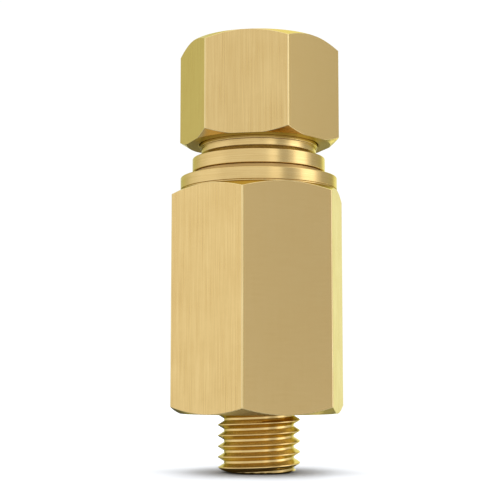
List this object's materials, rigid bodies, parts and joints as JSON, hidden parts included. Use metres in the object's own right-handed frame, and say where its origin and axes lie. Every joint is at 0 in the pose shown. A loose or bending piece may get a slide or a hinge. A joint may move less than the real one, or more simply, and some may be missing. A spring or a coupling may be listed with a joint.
{
  "type": "needle valve",
  "caption": "Straight brass needle valve with a hexagon body, a male stud inlet, a preset inner needle and a compression tube outlet with a union nut.",
  "frame": {"origin": "middle of the male stud's end face, on the valve's axis", "axes": "+Z along the flow, from the stud inlet up to the tube outlet; the body's spanner flats face +X and -X, and the union nut's face +Y and -Y"},
  "size_m": [0.0196, 0.022, 0.0513],
  "materials": {
    "brass": "satin, fine brushed",
    "stainless": "ground, satin",
    "spring_steel": "drawn wire and stamped strip, plain",
    "copper": "soft copper, dull",
    "sintered_bronze": "sintered, grainy",
    "rubber": "moulded, matt"
  },
  "bodies": {
    "valve_body": {"valve_body": "brass", "inlet_filter": "sintered_bronze", "filter_ring": "spring_steel", "seat_insert": "stainless", "seat_o_ring": "rubber", "needle_spring": "spring_steel", "needle_carrier": "brass", "carrier_spacer": "brass", "disc_spring": "spring_steel", "body_gasket": "copper", "outlet_adapter": "brass"},
    "compression_rings": {"cutting_ring": "brass", "thrust_ring": "brass"},
    "union_nut": {"union_nut": "brass", "captive_wire": "spring_steel"},
    "spring_seat": {"spring_seat": "stainless"},
    "needle": {"needle": "stainless", "spring_clip": "spring_steel"},
    "lock_washer": {"lock_washer": "stainless"},
    "lock_nut": {"lock_nut": "brass"}
  },
  "joints": [
    {"name": "nut_travel", "type": "slide", "parent": "valve_body", "child": "compression_rings", "axis": [0, 0, 1], "range_m": [0, 0.0075]},
    {"name": "nut_turn", "type": "hinge", "parent": "compression_rings", "child": "union_nut", "pos_m": [0, 0, 0.0452], "axis": [0, 0, 1], "range_deg": [0, 1800]},
    {"name": "needle_travel", "type": "slide", "parent": "valve_body", "child": "spring_seat", "axis": [0, 0, 1], "range_m": [0, 0.002], "deforming": ["needle_spring"]},
    {"name": "needle_turn", "type": "hinge", "parent": "spring_seat", "child": "needle", "pos_m": [0, 0, 0.0186], "axis": [0, 0, 1], "range_deg": [0, 1440]},
    {"name": "lock_nut_travel", "type": "slide", "parent": "valve_body", "child": "lock_washer", "axis": [0, 0, 1], "range_m": [0, 0.0015]},
    {"name": "lock_nut_turn", "type": "hinge", "parent": "lock_washer", "child": "lock_nut", "pos_m": [0, 0, 0.0257], "axis": [0, 0, 1], "range_deg": [0, 1080]}
  ],
  "couplings": [
    {"joint": "nut_turn", "follows": "nut_travel", "rad_per_m": 4188.8},
    {"joint": "needle_turn", "follows": "needle_travel", "rad_per_m": 12566},
    {"joint": "lock_nut_turn", "follows": "lock_nut_travel", "rad_per_m": 12566}
  ]
}
